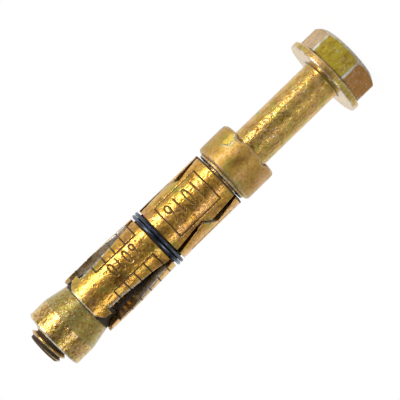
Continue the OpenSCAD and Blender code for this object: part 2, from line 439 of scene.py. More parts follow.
@dataclass(frozen=True)
class ZincFinish:
    """Yellow passivated zinc: mottled gold with green, pink and blue tints, pale edges that are partly
    rubbed and partly painted highlight, and dark painted shade.
    """

    name: str
    gold: Colour = (0.84, 0.45, 0.065)
    shade: Colour = (0.34, 0.15, 0.015)
    green: Colour = (0.46, 0.42, 0.07)
    pink: Colour = (0.82, 0.45, 0.22)
    film: Colour = (0.60, 0.46, 0.03)
    brown: Colour = (0.42, 0.17, 0.03)
    speck: Colour = (0.85, 0.86, 0.84)
    # Pale colour of rubbed edges; on the segments' cut faces and rounded edges and the ferrule's dent edge
    # it is also painted highlight.
    worn_and_painted_highlight: Colour = (0.78, 0.84, 0.84)
    # Near-black painted shade for thread roots, recesses, bores and gaps between parts.
    painted_shade: Colour = (0.030, 0.016, 0.008)
    roughness: float = 0.20
    roughness_span: float = 0.14
    film_roughness: float = 0.30
    worn_and_painted_highlight_roughness: float = 0.45
    painted_shade_roughness: float = 0.7
    coat: float = 0.35
    coat_roughness: float = 0.12
    blotch: float = 230.0
    tint_scale: float = 0.55
    grain: float = 1500.0
    speck_scale: float = 2.6
    stretch: float = 1.0
    colour_stops: tuple[float, ...] = (0.30, 0.48, 0.58, 0.72)
    pink_span: Span = (0.52, 0.70)
    green_span: Span = (0.46, 0.32)
    film_span: Span = (0.3, 0.5)
    dust_span: Span = (0.46, 0.66)
    speck_span: Span = (0.60, 0.74)
    worn_and_painted_highlight_span: Span = (0.36, 0.56)
    nonmetal_span: Span = (0.3, 0.9)
    pink_share: float = 0.6
    green_share: float = 0.7
    dust_share: float = 0.5
    speck_share: float = 0.3
    film_share: Span = (0.6, 1.0)
    worn_and_painted_highlight_share: Span = (1.0, 0.35)
    painted_shade_share: float = 0.95
    bump: float = 0.30
    bump_depth: float = 0.10 * MM
    pits: float = 0.5

    def colour(self, t: NodeTree, blotches: Value, grains: Value, specks: Value) -> Socket:
        """Lays gold, tints, films, dust, specks, pale edges that are partly rubbed and partly painted
        highlight, and painted shade over each other.

        Args:
            t: The node tree.
            blotches: Wide noise.
            grains: Fine noise.
            specks: Finest noise.

        Returns:
            The colour's socket.
        """
        colours = (self.shade, self.gold, self.gold, self.green)
        base = t.ramp(blotches, list(zip(self.colour_stops, colours)))
        tints = t.noise(t.place(), self.blotch * self.tint_scale, 3.0, 1.2)
        pinked = t.mix(t.map(tints, *self.pink_span, 0.0, self.pink_share), base, self.pink)
        greened = t.mix(t.map(tints, *self.green_span, 0.0, self.green_share), pinked, self.green)
        patches = t.map(blotches, *self.film_span, *self.film_share)
        filmed = t.mix(t.times(t.mark("film"), patches), greened, self.film)
        tanned = t.mix(t.mark("tan"), filmed, self.brown)
        dusted = t.mix(t.map(grains, *self.dust_span, 0.0, self.dust_share), tanned, self.shade)
        specked = t.mix(t.map(specks, *self.speck_span, 0.0, self.speck_share), dusted, self.speck)
        patchy_wear_and_painted_highlight = t.map(grains, *self.worn_and_painted_highlight_span, *self.worn_and_painted_highlight_share)
        # Pale rubbed edges, and painted highlight on the segments' cut faces and rounded edges and the
        # ferrule's dent edge.
        edged = t.mix(t.times(t.mark("wear_and_painted_highlight"), patchy_wear_and_painted_highlight), specked, self.worn_and_painted_highlight)
        # Painted shade: darkens every place under the shade mark.
        return t.mix(t.times(t.mark("groove"), self.painted_shade_share), edged, self.painted_shade)

    def roughnesses(self, t: NodeTree, blotches: Value) -> Socket:
        """The roughest of the plain zinc, the film, the pale rubbed and painted-highlight edges and the
        painted shade at a place.

        Args:
            t: The node tree.
            blotches: Wide noise.

        Returns:
            The roughness's socket.
        """
        plain = t.map(blotches, 0.3, 0.75, self.roughness, self.roughness + self.roughness_span)
        filmed = t.larger(plain, t.times(t.mark("film"), self.film_roughness))
        worn_and_painted_highlight = t.times(t.mark("wear_and_painted_highlight"), self.worn_and_painted_highlight_roughness)
        return t.larger(filmed, t.larger(worn_and_painted_highlight, t.times(t.mark("groove"), self.painted_shade_roughness)))

    def material(self) -> bpy.types.Material:
        """Builds the material, which reads a mesh's marks for pale rubbed edges with painted highlight, for
        painted shade, for film and for tan.

        Returns:
            The material.
        """
        mat = bpy.data.materials.new(self.name)
        t = NodeTree(mat)
        blotches = t.noise(t.place(), self.blotch, 4.0, 0.6)
        drawn = t.drawn((1.0, 1.0, self.stretch))
        grains = t.noise(drawn, self.grain, 5.0)
        specks = t.noise(drawn, self.grain * self.speck_scale, 2.0)
        dents = t.math("ADD", grains, t.times(specks, self.pits))
        # Painted shade and painted highlight both turn the surface from metal to plain colour.
        unshaded = t.map(t.mark("groove"), *self.nonmetal_span, 1.0, 0.0)
        free_of_wear_and_painted_highlight = t.map(t.mark("wear_and_painted_highlight"), *self.nonmetal_span, *self.worn_and_painted_highlight_share)
        t.surface(t.add("ShaderNodeBsdfPrincipled", {}, {
            "Base Color": self.colour(t, blotches, grains, specks),
            "Metallic": t.times(unshaded, free_of_wear_and_painted_highlight),
            "Roughness": self.roughnesses(t, blotches),
            "Normal": t.bump(self.bump, self.bump_depth, dents),
            "Coat Weight": t.map(t.mark("groove"), 0.1, 0.5, self.coat, 0.0),
            "Coat Roughness": self.coat_roughness}))
        return mat


@dataclass(frozen=True)
class WireFinish:
    """Dark drawn spring steel with fine lines along the wire."""

    name: str = "drawn_spring_wire"
    dark: Colour = (0.02, 0.024, 0.04)
    light: Colour = (0.20, 0.24, 0.31)
    roughness: float = 0.15
    roughness_span: float = 0.15
    lines: float = 2600.0
    blotch: float = 400.0
    along: float = 0.12
    bump: float = 0.3
    bump_depth: float = 0.03 * MM

    def material(self) -> bpy.types.Material:
        """Builds the material.

        Returns:
            The material.
        """
        mat = bpy.data.materials.new(self.name)
        t = NodeTree(mat)
        lines = t.noise(t.drawn((self.along, self.along, 1.0)), self.lines, 4.0)
        blotches = t.noise(t.place(), self.blotch, 3.0)
        t.surface(t.add("ShaderNodeBsdfPrincipled", {}, {
            "Base Color": t.ramp(lines, [(0.35, self.dark), (0.7, self.light)]),
            "Metallic": 1.0,
            "Roughness": t.map(blotches, 0.3, 0.7, self.roughness, self.roughness + self.roughness_span),
            "Normal": t.bump(self.bump, self.bump_depth, lines)}))
        return mat


@dataclass
class HexBolt:
    """The forged hex flange bolt with its rolled thread, standing on its head."""

    across_flats: float = 16.65 * MM
    head_h: float = 6.25 * MM
    flat_inset: float = 0.8 * MM
    chamfer_angle: float = math.radians(30)
    head_turn: float = math.radians(1.4)
    chamfer_rise: float = 0.05 * MM
    chamfer_blend: float = 0.25 * MM
    corner_cut: float = 0.04 * MM
    corner_blend: float = 0.10 * MM
    slope_h: float = 0.55 * MM
    slope_w: float = 1.2 * MM
    bearing_h: float = 8.4 * MM
    rim_edge: float = 0.3 * MM
    rim_round: float = 0.25 * MM
    rim_rise: float = 0.12 * MM
    shank_r: float = 4.95 * MM
    fillet: float = 0.5 * MM
    smooth_neck: float = 3.4 * MM
    thread_r: float = 4.9 * MM
    thread_depth: float = 0.88 * MM
    thread_len: float = 26.0 * MM
    runout: float = 1.6 * MM
    pitch: float = 1.5 * MM
    tip_chamfer: float = 1.0 * MM
    turn_steps: int = 192
    thread_steps: int = 96

    def __post_init__(self) -> None:
        """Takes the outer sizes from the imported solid."""
        low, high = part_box("hex_flange_bolt")
        self.tip = high.z
        self.flange_r = min(high.x, high.y, -low.x, -low.y)
        self.corner_r = self.across_flats / 2 / math.cos(SIXTH / 2)
        self.flat_r = self.across_flats / 2 - self.flat_inset
        self.thread_start = self.tip - self.thread_len
        self.shield_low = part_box("shield_segment_a")[0].z

    def hex_radius(self, angle: float) -> float:
        """The hex's radius at an angle, with its corners a little rounded.

        Args:
            angle: The angle round the axis.

        Returns:
            The radius.
        """
        off = (angle - SEGMENT_FRONT - self.head_turn + SIXTH / 2) % SIXTH - SIXTH / 2
        sharp = self.across_flats / 2 / math.cos(off)
        return soft_min(sharp, self.corner_r - self.corner_cut, self.corner_blend)

    def slope_height(self, r: float) -> float:
        """The height of the flange's sloped shoulder at a radius."""
        start = self.flange_r - self.slope_w
        return self.head_h + self.slope_h * min(max((r - start) / self.slope_w, 0.0), 1.0)

    def head_shape(self, r: float, angle: float, z: float) -> Point:
        """Turns the round blank's head into a chamfered hex on its flange.

        Args:
            r: The radius.
            angle: The angle round the axis.
            z: The height.

        Returns:
            The new radius and height.
        """
        tiny = 1e-6
        if z > self.head_h + tiny or r < self.corner_r - tiny:
            return r, z
        hexed = self.hex_radius(angle)
        if r <= self.corner_r + tiny:
            cone = self.flat_r + self.chamfer_rise + z / math.tan(self.chamfer_angle)
            root = self.slope_height(hexed) - self.head_h
            return soft_min(hexed, cone, self.chamfer_blend), z + root * z / self.head_h
        share = (r - self.corner_r) / (self.flange_r - self.corner_r)
        out = hexed + share * (self.flange_r - hexed)
        return out, self.slope_height(out)

    def blank_profile(self) -> list[Point]:
        """The profile from the middle of the head's top to the thread.

        Returns:
            Points in order, as radius and height.
        """
        face = [(self.flat_r * k, 0.0) for k in (0.0, 0.25, 0.5, 0.75, 0.92, 0.985, 1.0)]
        edge = [0.02 * MM + z for z in stops_between([0.0, 0.1 * MM, 1.8 * MM], 0.06 * MM)]
        side = edge + stops_between([2.2 * MM, self.head_h], 0.35 * MM)
        hex_rows = [(self.corner_r, z) for z in side]
        ledge = [(self.corner_r + (self.flange_r - self.corner_r) * k, self.head_h)
                 for k in (0.08, 0.2, 0.4, 0.6, 0.8, 0.93)]
        shoulder = self.head_h + self.slope_h
        rim = arc((self.flange_r - self.rim_round, shoulder + self.rim_rise), self.rim_round, -60, 0, 4)
        edge_h = self.bearing_h - self.rim_edge
        wall = [(self.flange_r, z) for z in spread(shoulder + 0.3 * MM, edge_h, 0.3 * MM)]
        under = arc((self.flange_r - self.rim_edge, edge_h), self.rim_edge, 0, 90, 4)
        neck_r = self.shank_r + self.fillet
        face_r = self.flange_r - 1.6 * self.rim_edge
        bearing = [(r, self.bearing_h) for r in spread(neck_r, face_r, 0.5 * MM)][::-1]
        neck_h = self.bearing_h + self.fillet
        root = arc((neck_r, neck_h), self.fillet, 270, 180, 5)[1:]
        top = self.thread_start - 0.3 * MM
        shank = [(self.shank_r, z) for z in stops_between([neck_h + 0.2 * MM, top], 0.2 * MM)]
        return face + hex_rows + ledge + rim + wall + under + bearing + root + shank

    def blank(self) -> BMesh:
        """The head, flange and shank, open where the thread starts.

        Returns:
            The mesh.
        """
        bm = lathe(self.blank_profile(), self.turn_steps, closed=False)
        reshape(bm, self.head_shape)
        return bm

    def shank_share(self, p: Vector) -> float:
        """How rough the shank is at a place: its neck under the flange stays smooth.

        Args:
            p: The place.

        Returns:
            A share from 0 to 1.
        """
        if from_axis(p) > self.shank_r * 1.001:
            return 0.0
        start = self.bearing_h + self.smooth_neck
        end = self.thread_start - 2 * MM
        return smooth_step(start, start + 0.8 * MM, p.z) * (1 - smooth_step(end, end + MM, p.z))

    def head_share(self, p: Vector) -> float:
        """How dented the head is at a place: its flat top and its rim keep their size.

        Args:
            p: The place.

        Returns:
            A share from 0 to 1.
        """
        r = from_axis(p)
        if p.z < 0.4 * MM or p.z > self.bearing_h - 0.1 * MM or r > self.flange_r - 0.3 * MM:
            return 0.0
        return 1.0

    def thread(self) -> BMesh:
        """The rolled thread: one pitch of its profile, swept up the shank and cut square at both ends.

        Returns:
            The mesh, open at its lower end.
        """
        bm = bmesh.new()
        half = self.pitch / 2
        crest = self.pitch / 16
        root = self.pitch / 8
        down = [(0.0, 0.0), (crest, 0.0), (crest * 1.8, 0.06), (half * 0.5, 0.42), (half - root, 0.94)]
        rows = down + [(half, 1.0), (half + root, 0.94)] + [(self.pitch - h, d) for h, d in down[3::-1]]
        start = self.thread_start - self.pitch * 1.5
        verts = [bm.verts.new((self.thread_r - self.thread_depth * d, 0, start + h)) for h, d in rows]
        edges = [bm.edges.new(pair) for pair in zip(verts, verts[1:])]
        turns = math.ceil(self.thread_len / self.pitch) + 3
        bmesh.ops.spin(bm, geom=verts + edges, cent=(0, 0, 0), axis=(0, 0, 1),
                       dvec=(0, 0, self.pitch / self.thread_steps), angle=FULL_TURN * turns,
                       steps=self.thread_steps * turns, use_merge=False, use_duplicate=False)
        bmesh.ops.remove_doubles(bm, verts=bm.verts[:], dist=2e-6)
        for height, up in ((self.thread_start, -1), (self.tip, 1)):
            bmesh.ops.bisect_plane(bm, geom=bm.verts[:] + bm.edges[:] + bm.faces[:], dist=1e-7,
                                   plane_co=(0, 0, height), plane_no=(0, 0, up), clear_outer=True)
        reshape(bm, self.thread_ends)
        top = [e for e in bm.edges if e.is_boundary and e.verts[0].co.z > self.tip - 1e-5]
        bmesh.ops.holes_fill(bm, edges=top, sides=0)
        return bm

    def thread_ends(self, r: float, angle: float, z: float) -> Point:
        """Fades the thread into the shank and chamfers it at the tip.

        Args:
            r: The radius.
            angle: The angle round the axis, which is not used.
            z: The height.

        Returns:
            The new radius and height.
        """
        fade = smooth_step(self.thread_start, self.thread_start + self.runout, z)
        r = self.shank_r + (r - self.shank_r) * fade
        return min(r, self.thread_r - 0.02 * MM - max(0.0, z - (self.tip - self.tip_chamfer))), z

    def build(self, finish: ZincFinish) -> bpy.types.Object:
        """Joins blank and thread into one closed piece and dresses it.

        Args:
            finish: What its surface looks like.

        Returns:
            The dressed piece.
        """
        bm = self.blank()
        thread_mesh = bpy.data.meshes.new("thread")
        thread = self.thread()
        thread.to_mesh(thread_mesh)
        thread.free()
        bm.from_mesh(thread_mesh)
        bpy.data.meshes.remove(thread_mesh)
        gap = [e for e in bm.edges if e.is_boundary]
        bmesh.ops.bridge_loops(bm, edges=gap)
        bmesh.ops.triangulate(bm, faces=[f for f in bm.faces if len(f.verts) > 4])
        bmesh.ops.recalc_face_normals(bm, faces=bm.faces[:])
        wear_and_painted_highlight = edge_wear(bm, sharp=26.0, flat=0.12)
        rubbed = [self.rub_share(v.co) for v in bm.verts]
        tan = [self.tan_share(v.co) for v in bm.verts]
        roughen(bm, depth=0.07 * MM, grain=0.6 * MM, where=self.shank_share)
        roughen(bm, depth=0.04 * MM, grain=1.8 * MM, where=self.head_share)
        # Painted shade in the thread's roots, along both feet and on the shank inside the shield.
        painted_shade = [self.painted_shade_share(v.co) for v in bm.verts]
        film = [self.film_share(v.co) for v in bm.verts]
        for i, v in enumerate(bm.verts):
            wear_and_painted_highlight[i] = max(wear_and_painted_highlight[i] * (0.4 if v.co.z > self.thread_start else 1.0), rubbed[i])
        marks = {"wear_and_painted_highlight": wear_and_painted_highlight, "groove": painted_shade, "film": film, "tan": tan}
        return finish_piece(bm, "hex_flange_bolt", "bolt", finish.material(), marks)

    def flat_turn(self, p: Vector) -> float:
        """A place's angle in degrees from the middle of the hex's front flat."""
        return math.degrees(turn_from(round_axis(p), SEGMENT_FRONT + self.head_turn))

    def painted_shade_share(self, p: Vector) -> float:
        """How much painted shade a place takes: in the thread's roots, along both feet and on the shank
        inside the shield.

        Args:
            p: The place.

        Returns:
            A share from 0 to 1.
        """
        if p.z > self.tip - 1e-5:
            return 0.0
        # Painted shade in the thread's roots.
        if p.z > self.thread_start + self.runout:
            return smooth_step(self.thread_r - 0.25 * MM, self.thread_r - 0.7 * MM, from_axis(p))
        r = from_axis(p)
        foot = self.hex_radius(round_axis(p))
        # Painted shadow along the hex's foot, where it meets the flange.
        if abs(r - foot) < 0.4 * MM and abs(p.z - self.slope_height(r)) < 0.22 * MM:
            return 0.75
        # Painted shade in the crease where the shank meets the bearing face.
        if r < self.shank_r + 0.5 * MM and abs(p.z - self.bearing_h) < 0.3 * MM:
            return 0.6
        # Painted shade on the shank inside the shield.
        return smooth_step(self.shield_low, self.shield_low + MM, p.z)

    def rub_share(self, p: Vector) -> float:
        """How rubbed the hex is: most round its end and along its six edges.

        Args:
            p: The place.

        Returns:
            A share from 0 to 1.
        """
        r = from_axis(p)
        if p.z > self.head_h or r < self.flat_r - 0.35 * MM or self.slope_height(r) - p.z < 0.1 * MM:
            return 0.0
        turn = self.flat_turn(p)
        off = math.radians(abs((turn + 60.0) % 60.0 - 30.0)) * r
        return max(smooth_step(0.75 * MM, 0.35 * MM, p.z), smooth_step(0.45 * MM, 0.15 * MM, off))

    def tan_share(self, p: Vector) -> float:
        """How brown a flat is: one to one side of the olive flat most, the others less.

        Args:
            p: The place.

        Returns:
            A share from 0 to 1.
        """
        if p.z > self.head_h or from_axis(p) < self.flat_r or p.z < 0.3 * MM:
            return 0.0
        turn = self.flat_turn(p)
        if abs(turn) < 30.0:
            return 0.0
        return 0.9 if -90.0 < turn < -30.0 else 0.45

    def film_share(self, p: Vector) -> float:
        """How thick the olive film is: most on the hex, where each flat differs a little.

        Args:
            p: The place.

        Returns:
            A share from 0 to 1.
        """
        if p.z > self.head_h or from_axis(p) < self.flat_r:
            return 0.0
        flat = math.cos(round_axis(p) - SEGMENT_FRONT - self.head_turn)
        return smooth_step(0.1 * MM, 0.6 * MM, p.z) * (0.25 + 0.75 * smooth_step(0.8, 0.9, flat))


@dataclass
class Ferrule:
    """The turned tube with a lip toward the shield and a staked rim toward the head."""

    bore_r: float = 5.03 * MM
    lip_h: float = 0.65 * MM
    lip_inset: float = 1.2 * MM
    lip_edge: float = 0.9 * MM
    rim_edge: float = 0.8 * MM
    rim_inside: float = 0.3 * MM
    recess_depth: float = 1.5 * MM
    recess_wall: float = 1.5 * MM
    stake_turn: float = math.radians(14.5)
    stake_count: int = 6
    stake_w: float = 3.4 * MM
    stake_depth: float = 0.65 * MM
    stake_inward: float = 0.30 * MM
    dent_turn: float = math.radians(31.0)
    dent_from_rim: float = 2.4 * MM
    dent_r: float = 1.75 * MM
    dent_top: float = 0.35 * MM
    dent_depth: float = 0.34 * MM
    dent_ring: float = 0.05 * MM
    turn_steps: int = 288

    def __post_init__(self) -> None:
        """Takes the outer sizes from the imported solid."""
        low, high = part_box("ferrule")
        self.outer_r = high.x
        self.low = low.z
        self.top = high.z
        self.high = high.z - self.lip_h

    def profile(self) -> list[Point]:
        """The closed profile, from the bore's lower end round the outside.

        Returns:
            Points in order, as radius and height.
        """
        inner = self.outer_r - self.recess_wall
        lip_r = self.outer_r - self.lip_inset
        recess_h = self.low + self.recess_depth
        recess = [(self.bore_r, recess_h), (inner - 0.1 * MM, recess_h)]
        rim_in = arc((inner + self.rim_inside, self.low + self.rim_inside), self.rim_inside, 180, 270, 4)
        rim_out = arc((self.outer_r - self.rim_edge, self.low + self.rim_edge), self.rim_edge, 270, 360, 8)
        wall = [(self.outer_r, self.low + self.rim_edge), (self.outer_r, self.high - self.lip_edge)]
        lip = arc((self.outer_r - self.lip_edge, self.high - self.lip_edge), self.lip_edge, 0, 90, 8)
        collar = [(lip_r, self.high), (lip_r, self.top - 0.2 * MM), (lip_r - 0.2 * MM, self.top),
                  (self.bore_r, self.top)]
        path = refine(recess, 0.4 * MM) + rim_in + rim_out[1:] + refine(wall, 0.16 * MM)[1:] + lip[1:]
        bore = [(self.bore_r, self.top - 0.1 * MM), (self.bore_r, self.low + 1.6 * MM)]
        return path + refine(collar, 0.3 * MM) + refine(bore, 1 * MM)

    def stake_share(self, angle: float) -> float:
        """How far an angle is inside one of the staked notches of the rim.

        Args:
            angle: The angle round the axis.

        Returns:
            A share from 0 to 1.
        """
        pitch = FULL_TURN / self.stake_count
        off = (angle - SEGMENT_FRONT - self.stake_turn + pitch / 2) % pitch - pitch / 2
        return math.exp(-((off * self.outer_r / (self.stake_w * 0.36)) ** 4))

    def dent_place(self, angle: float, z: float) -> Point:
        """A place's distance across from the dent's middle, and its share of the dent's radius."""
        across = turn_from(angle, SEGMENT_FRONT + self.dent_turn) * self.outer_r
        return across, math.hypot(across, z - (self.low + self.dent_from_rim)) / self.dent_r

    def shape(self, r: float, angle: float, z: float) -> Point:
        """Adds the staked notches and the half-moon dent.

        Args:
            r: The radius.
            angle: The angle round the axis.
            z: The height.

        Returns:
            The new radius and height.
        """
        near_rim = 1 - smooth_step(self.low + 0.7 * MM, self.low + 1.4 * MM, z)
        if near_rim > 0 and r > self.outer_r - self.recess_wall - 0.05 * MM:
            share = self.stake_share(angle)
            z += self.stake_depth * share * near_rim
            r -= self.stake_inward * share * near_rim * smooth_step(self.outer_r - 0.9 * MM, self.outer_r, r)
        if r > self.outer_r - 0.02 * MM:
            across, reach = self.dent_place(angle, z)
            slope = min(max((self.dent_top - across) / self.dent_r, 0.0), 1.0)
            pressed = smooth_step(1.0, 0.86, reach) * slope
            raised = math.exp(-(((reach - 1.1) / 0.12) ** 2)) * smooth_step(0.1 * MM, -0.5 * MM, across)
            r += self.dent_ring * raised - self.dent_depth * pressed
        return r, z

    def build(self, finish: ZincFinish) -> bpy.types.Object:
        """Turns, stakes and dresses the ferrule.

        Args:
            finish: What its surface looks like.

        Returns:
            The dressed piece.
        """
        bm = lathe(self.profile(), self.turn_steps, closed=True)
        reshape(bm, self.shape)
        wear_and_painted_highlight = edge_wear(bm, sharp=30.0, flat=0.2)
        roughen(bm, depth=0.035 * MM, grain=3.0 * MM, where=beyond(self.bore_r + MM))
        # Painted shade in the recess, the bore, on the lip's end face and in the staked notches.
        inside = [self.painted_shade_share(v.co) for v in bm.verts]
        film = [0.0] * len(wear_and_painted_highlight)
        for i, v in enumerate(bm.verts):
            across, reach = self.dent_place(round_axis(v.co), v.co.z)
            if from_axis(v.co) > self.outer_r - MM and across < self.dent_top:
                film[i] = 0.45 * smooth_step(0.98, 0.85, reach)
                # Painted highlight along the dent's raised edge, laid in as pale rubbed metal.
                ring = math.exp(-(((reach - 1.03) / 0.09) ** 2)) * smooth_step(0.1 * MM, -0.5 * MM, across)
                wear_and_painted_highlight[i] = max(wear_and_painted_highlight[i], ring)
        marks = {"wear_and_painted_highlight": wear_and_painted_highlight, "groove": inside, "film": film}
        return finish_piece(bm, "ferrule", "ferrule", finish.material(), marks)

    def painted_shade_share(self, p: Vector) -> float:
        """How much painted shade a place takes: in the recess and the bore, on the lip's end face and in the
        staked notches.

        Args:
            p: The place.

        Returns:
            A share from 0 to 1.
        """
        r = from_axis(p)
        if p.z > self.top - 0.1 * MM or r < self.outer_r - self.recess_wall - 0.05 * MM:
            return 0.85
        low = smooth_step(self.low + 0.95 * MM, self.low + 0.7 * MM, p.z)
        deep = smooth_step(self.outer_r - 0.35 * MM, self.outer_r - 0.6 * MM, r)
        return 0.8 * low * deep * self.stake_share(round_axis(p))


@dataclass
class TaperNut:
    """The threaded cone with its cylindrical nose at the bolt's tip."""

    bore_r: float = 4.98 * MM
    nose_len: float = 5.1 * MM
    taper_angle: float = math.radians(11.55)
    nose_edge: float = 0.35 * MM
    countersink: float = 0.35 * MM
    nick_turn: float = math.radians(-10.0)
    nick_size: float = 0.62 * MM
    nick_depth: float = 0.3 * MM
    turn_steps: int = 256

    def __post_init__(self) -> None:
        """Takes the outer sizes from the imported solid."""
        low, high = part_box("taper_nut")
        self.nose_r = high.x
        self.low = low.z
        self.top = high.z
        self.taper_top = high.z - self.nose_len
        self.end_r = self.nose_r - (self.taper_top - self.low) * math.tan(self.taper_angle)

    def profile(self) -> list[Point]:
        """The closed profile, from the bore's lower end round the outside.

        Returns:
            Points in order, as radius and height.
        """
        sink = self.bore_r + self.countersink
        end = [(self.bore_r, self.low + self.countersink), (sink, self.low),
               (self.end_r - 0.1 * MM, self.low)]
        cone = [(self.end_r, self.low + 0.1 * MM), (self.nose_r - 0.02 * MM, self.taper_top - 0.08 * MM)]
        nose = [(self.nose_r, self.taper_top + 0.08 * MM), (self.nose_r, self.top - self.nose_edge)]
        front = arc((self.nose_r - self.nose_edge, self.top - self.nose_edge), self.nose_edge, 0, 90, 5)[1:]
        face = [(self.nose_r - 0.4 * MM, self.top), (sink, self.top),
                (self.bore_r, self.top - self.countersink)]
        bore = [(self.bore_r, self.top - 0.5 * MM), (self.bore_r, self.low + 0.5 * MM)]
        return (refine(end, 0.4 * MM) + refine(cone, 0.16 * MM) + refine(nose, 0.16 * MM) + front
                + refine(face, 0.35 * MM) + refine(bore, 1.0 * MM))

    def shape(self, r: float, angle: float, z: float) -> Point:
        """Adds the small three-sided punch mark beside the taper's edge.

        Args:
            r: The radius.
            angle: The angle round the axis.
            z: The height.

        Returns:
            The new radius and height.
        """
        across = turn_from(angle, SEGMENT_FRONT + self.nick_turn) * self.nose_r
        along = z - (self.taper_top + 0.15 * MM)
        if r > self.nose_r - 0.1 * MM and 0 < along < 2 * self.nick_size:
            width = self.nick_size * (1 - along / (2 * self.nick_size))
            r -= self.nick_depth * smooth_step(width, width * 0.4, abs(across))
        return r, z

    def build(self, finish: ZincFinish) -> bpy.types.Object:
        """Turns, marks and dresses the nut.

        Args:
            finish: What its surface looks like.

        Returns:
            The dressed piece.
        """
        bm = lathe(self.profile(), self.turn_steps, closed=True)
        wear_and_painted_highlight = edge_wear(bm, sharp=12.0, flat=0.3)
        reshape(bm, self.shape)
        roughen(bm, depth=0.035 * MM, grain=1.3 * MM, where=beyond(self.bore_r + MM))
        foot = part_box("shield_segment_a")[1].z
        # Painted shade in the bore and on the cone just below the segments' feet.
        inside = [max(0.8 * (from_axis(v.co) < self.bore_r + 0.2 * MM),
                      smooth_step(foot + 0.34 * MM, foot + 0.12 * MM, v.co.z)) for v in bm.verts]
        film = [smooth_step(self.taper_top + 0.1 * MM, self.taper_top - 0.1 * MM, v.co.z) for v in bm.verts]
        marks = {"wear_and_painted_highlight": wear_and_painted_highlight, "groove": inside, "film": film}
        return finish_piece(bm, "taper_nut", "nut", finish.material(), marks)


@dataclass
class WireHoop:
    """The spring wire wound twice round the segments."""

    wire_r: float = 0.425 * MM
    turn_gap: float = 0.08 * MM
    cross_angle: float = math.radians(50)
    end_angle: float = math.radians(6)
    sides: int = 20
    turn_steps: int = 132

    def __post_init__(self) -> None:
        """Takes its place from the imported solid."""
        low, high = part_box("wire_hoop")
        self.middle = (low.z + high.z) / 2
        self.coil_r = high.x - self.wire_r
        self.pitch = 2 * self.wire_r + self.turn_gap
        self.reach = 2 * FULL_TURN - self.cross_angle - 2 * self.end_angle

    def height(self, angle: float) -> float:
        """The height of the wire's middle at an angle before or after the crossing."""
        rise = min(max(angle / self.cross_angle, -0.5), 0.5)
        return self.middle + math.sin(math.pi * rise) * self.pitch / 2

    def build(self, finish: WireFinish) -> bpy.types.Object:
        """Winds the wire twice round, with its crossing at the back, and dresses it.

        Args:
            finish: What its surface looks like.

        Returns:
            The dressed piece.
        """
        bm = bmesh.new()
        ring = bmesh.ops.create_circle(bm, cap_ends=False, radius=self.wire_r, segments=self.sides)["verts"]
        bmesh.ops.rotate(bm, verts=ring, cent=(0, 0, 0), matrix=Matrix.Rotation(math.pi / 2, 3, "X"))
        bmesh.ops.translate(bm, verts=ring, vec=(self.coil_r, 0, 0))
        first_angle = -SEGMENT_FRONT - self.reach / 2
        bmesh.ops.rotate(bm, verts=ring, cent=(0, 0, 0), matrix=Matrix.Rotation(first_angle, 3, "Z"))
        steps = round(self.reach / FULL_TURN * self.turn_steps)
        edges = list({e for v in ring for e in v.link_edges})
        bmesh.ops.spin(bm, geom=ring + edges, cent=(0, 0, 0), axis=(0, 0, 1), dvec=(0, 0, 0),
                       angle=self.reach, steps=steps, use_merge=False, use_duplicate=False)
        for index, v in enumerate(bm.verts):
            v.co.z += self.height(self.reach * (index // self.sides / steps - 0.5))
        bmesh.ops.holes_fill(bm, edges=[e for e in bm.edges if e.is_boundary], sides=0)
        bmesh.ops.recalc_face_normals(bm, faces=bm.faces[:])
        return finish_piece(bm, "wire_hoop", "hoop", finish.material(), {})


@dataclass(frozen=True)
class Engraving:
    """A plain number engraved along the wall, its digits one after the other."""

    text: str
    start: float
    pitch: float
    glyph_w: float
    glyph_h: float
    middle: float

    def lines(self) -> list[Line]:
        """Its pen strokes on the unrolled wall.

        Returns:
            Lines, each as its two ends across and along the wall.
        """
        strokes: list[Line] = []
        for i, digit in enumerate(self.text):
            pen = [(self.middle + self.glyph_h * (0.5 - y), self.start + i * self.pitch + self.glyph_w * x)
                   for x, y in digit_line(digit)]
            strokes += list(zip(pen, pen[1:]))
        return strokes


